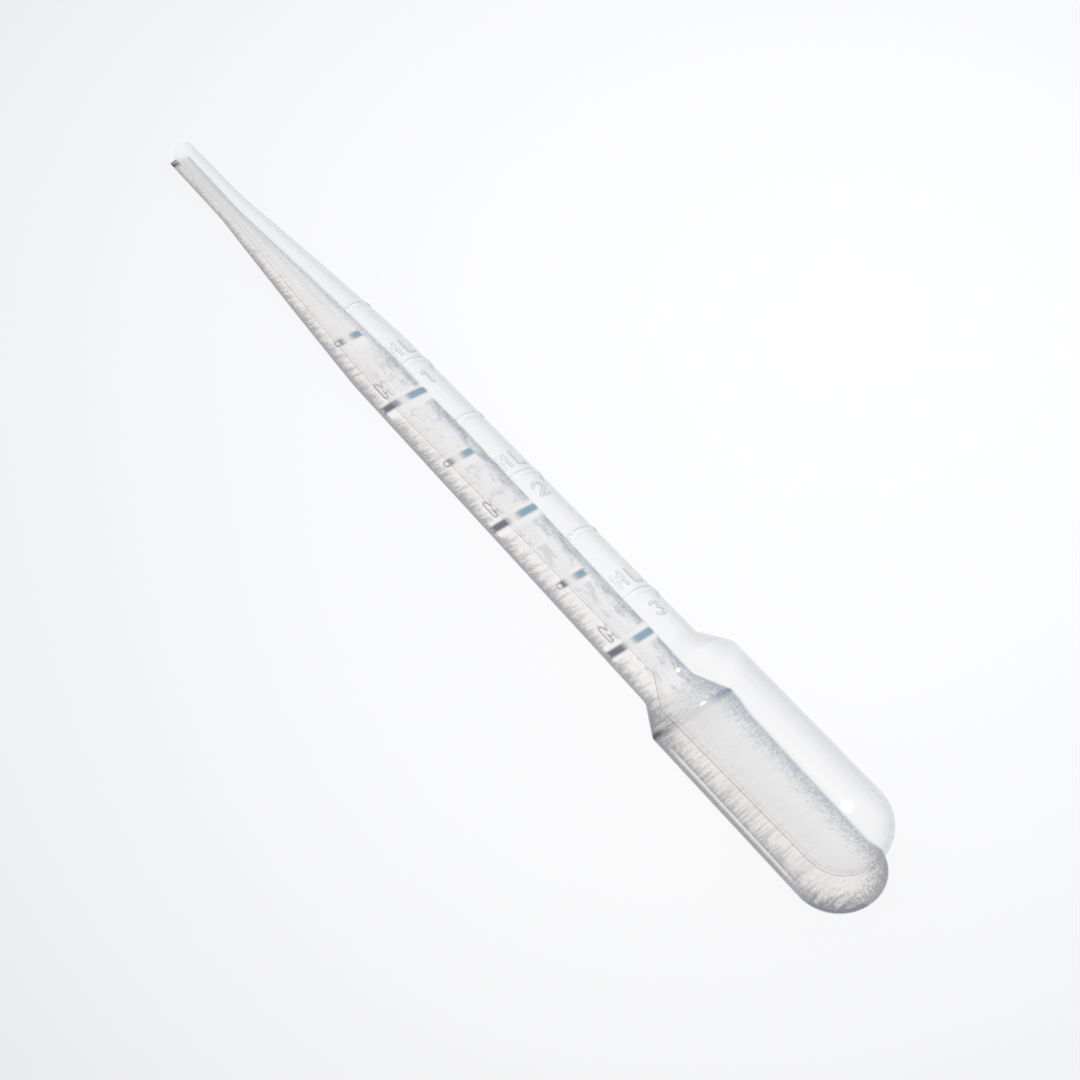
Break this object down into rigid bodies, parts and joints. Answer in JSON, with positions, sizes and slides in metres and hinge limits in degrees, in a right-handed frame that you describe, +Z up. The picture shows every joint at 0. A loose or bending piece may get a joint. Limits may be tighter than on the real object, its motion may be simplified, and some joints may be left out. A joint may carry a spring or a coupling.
{
  "type": "plastic dropper pipette",
  "caption": "One-piece graduated dropper pipette: a squeeze bulb draws liquid up through a narrow tip into a marked stem and lets it out in drops.",
  "frame": {"origin": "on the table, under the middle of the resting pipette's box", "axes": "+X from the mouth to the bulb, +Z up; the axis itself rises 2 degrees from the mouth to the bulb, and the graduation faces up, turned 19 degrees to +Y"},
  "size_m": [0.156, 0.0128, 0.0136],
  "materials": {
    "soft_plastic": "translucent, smooth, slightly milky"
  },
  "bodies": {
    "root": {"pipette": "soft_plastic"}
  },
  "joints": []
}
